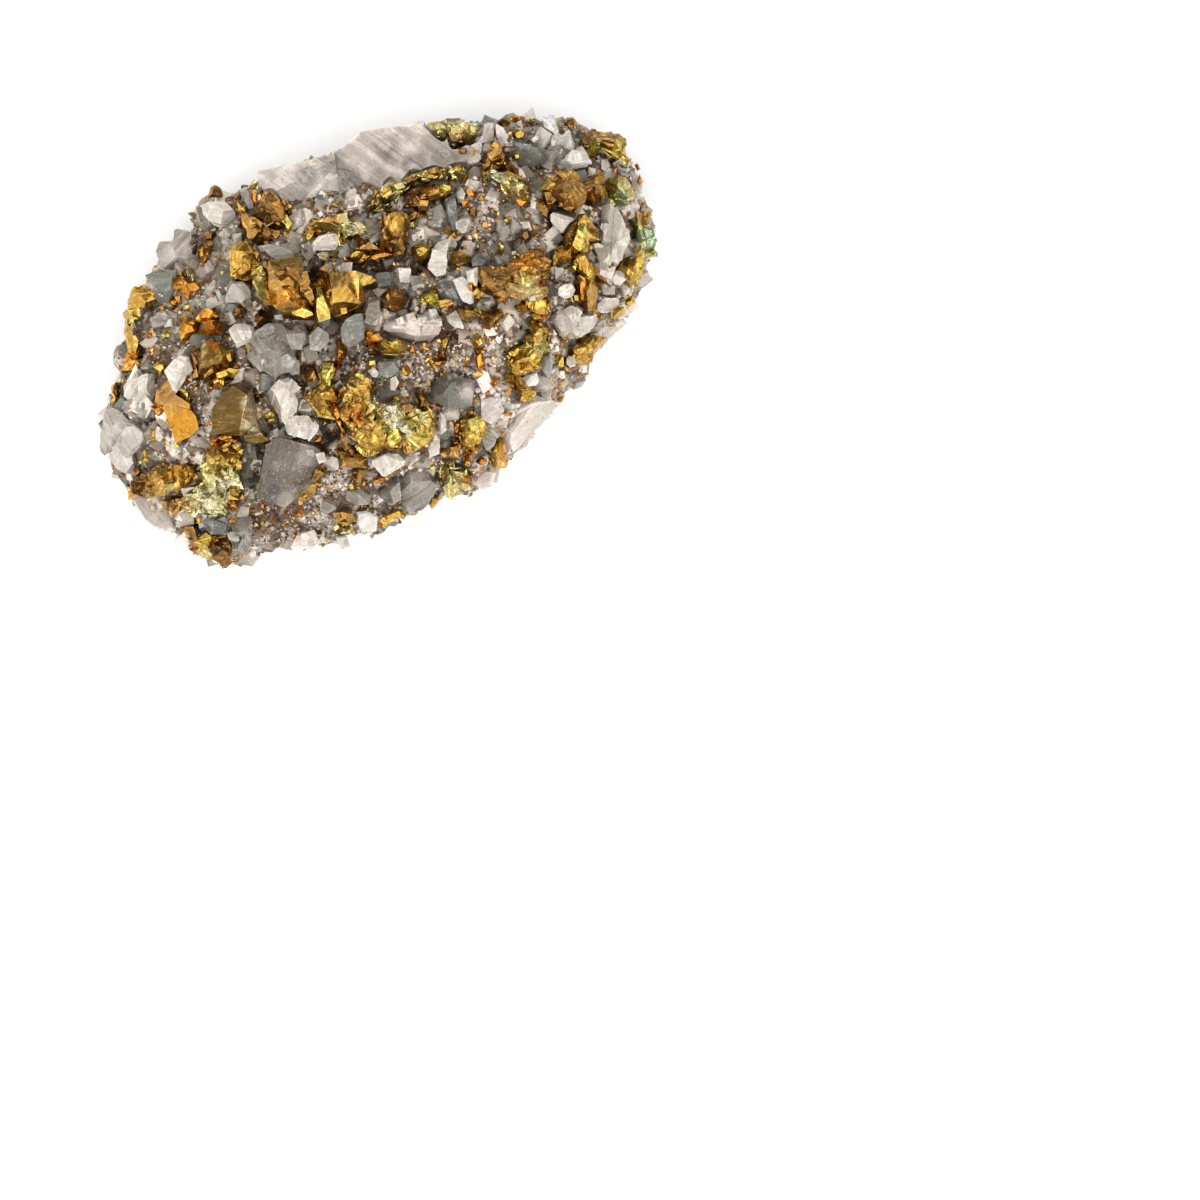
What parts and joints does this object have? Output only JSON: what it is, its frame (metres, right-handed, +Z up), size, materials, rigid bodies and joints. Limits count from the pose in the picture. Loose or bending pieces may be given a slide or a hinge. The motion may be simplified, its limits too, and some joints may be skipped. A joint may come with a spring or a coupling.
{
  "type": "chalcopyrite on calcite mineral specimen",
  "caption": "Hand specimen of brass-yellow chalcopyrite crystals crowded over a block of grey and white calcite, broken flat below so that it stands by itself.",
  "frame": {"origin": "middle of the block on its flat base", "axes": "+Z up from the base to the crystals, +X along the length of the block"},
  "size_m": [0.0614, 0.0395, 0.0222],
  "materials": {
    "brass_yellow": "bright golden yellow metallic lustre, striated and crinkled",
    "olive_brass": "olive-tarnished metallic lustre",
    "pale_brass": "pale yellow-green metallic lustre, hackly",
    "brown_brass": "brown-orange tarnished metallic lustre",
    "green_tarnish": "green and teal tarnish over metallic lustre",
    "grey_calcite": "translucent grey, vitreous cleavage faces",
    "green_calcite": "dark grey-green, vitreous",
    "white_calcite": "white to pinkish, semi-gloss",
    "lilac_calcite": "lilac-grey, striated cleavage",
    "rock": "rough granular rock"
  },
  "bodies": {
    "root": {"matrix": "rock", "chalcopyrite_crown_west": "olive_brass", "chalcopyrite_crown_east": "olive_brass", "chalcopyrite_wedge": "olive_brass", "chalcopyrite_shell": "pale_brass", "chalcopyrite_east_group": "olive_brass", "chalcopyrite_olive_crystal": "olive_brass", "chalcopyrite_pale_crystal": "pale_brass", "chalcopyrite_bright_wedge": "brass_yellow", "chalcopyrite_column": "olive_brass", "chalcopyrite_ball": "brass_yellow", "chalcopyrite_pale_south": "pale_brass", "chalcopyrite_dome_wedge": "olive_brass", "chalcopyrite_southwest_lump": "brown_brass", "chalcopyrite_southwest_mass": "pale_brass", "chalcopyrite_northeast": "brass_yellow", "chalcopyrite_green_tarnished": "green_tarnish", "chalcopyrite_east_edge": "green_tarnish", "chalcopyrite_long_crystal": "olive_brass", "chalcopyrite_east_ridge": "brass_yellow", "chalcopyrite_southeast_edge": "brass_yellow", "chalcopyrite_southeast_triangle": "brass_yellow", "chalcopyrite_nugget": "brown_brass", "chalcopyrite_west_plate": "brass_yellow", "chalcopyrite_west_sphenoid": "brass_yellow", "chalcopyrite_west_edge": "brass_yellow", "chalcopyrite_foot": "brown_brass", "chalcopyrite_northwest": "olive_brass", "chalcopyrite_west_peak": "brown_brass", "chalcopyrite_pale_plate": "pale_brass", "chalcopyrite_yellow_block": "brass_yellow", "chalcopyrite_cube": "brown_brass", "chalcopyrite_slab_pair": "pale_brass", "chalcopyrite_edge_cluster": "pale_brass", "chalcopyrite_fan": "olive_brass", "chalcopyrite_north_olive": "olive_brass", "chalcopyrite_orange_group": "brown_brass", "chalcopyrite_angular": "brown_brass", "chalcopyrite_yellow_crumble": "brass_yellow", "chalcopyrite_lens_pair": "brass_yellow", "calcite_slab": "lilac_calcite", "calcite_translucent_block": "grey_calcite", "calcite_white_knob": "white_calcite", "calcite_middle_west": "grey_calcite", "calcite_white_drift": "white_calcite", "calcite_white_tooth": "white_calcite", "calcite_green_block": "green_calcite", "calcite_south_plate": "grey_calcite", "calcite_southwest": "grey_calcite", "calcite_west_tip": "grey_calcite", "calcite_west_pair": "white_calcite", "calcite_west_block": "grey_calcite", "calcite_northwest_ridge": "white_calcite", "calcite_white_round": "white_calcite", "calcite_north_dark": "green_calcite", "calcite_north_top": "lilac_calcite", "calcite_striped_rhomb": "white_calcite", "calcite_east_white": "white_calcite", "calcite_east_face": "lilac_calcite", "calcite_southeast_face": "lilac_calcite"}
  },
  "joints": []
}
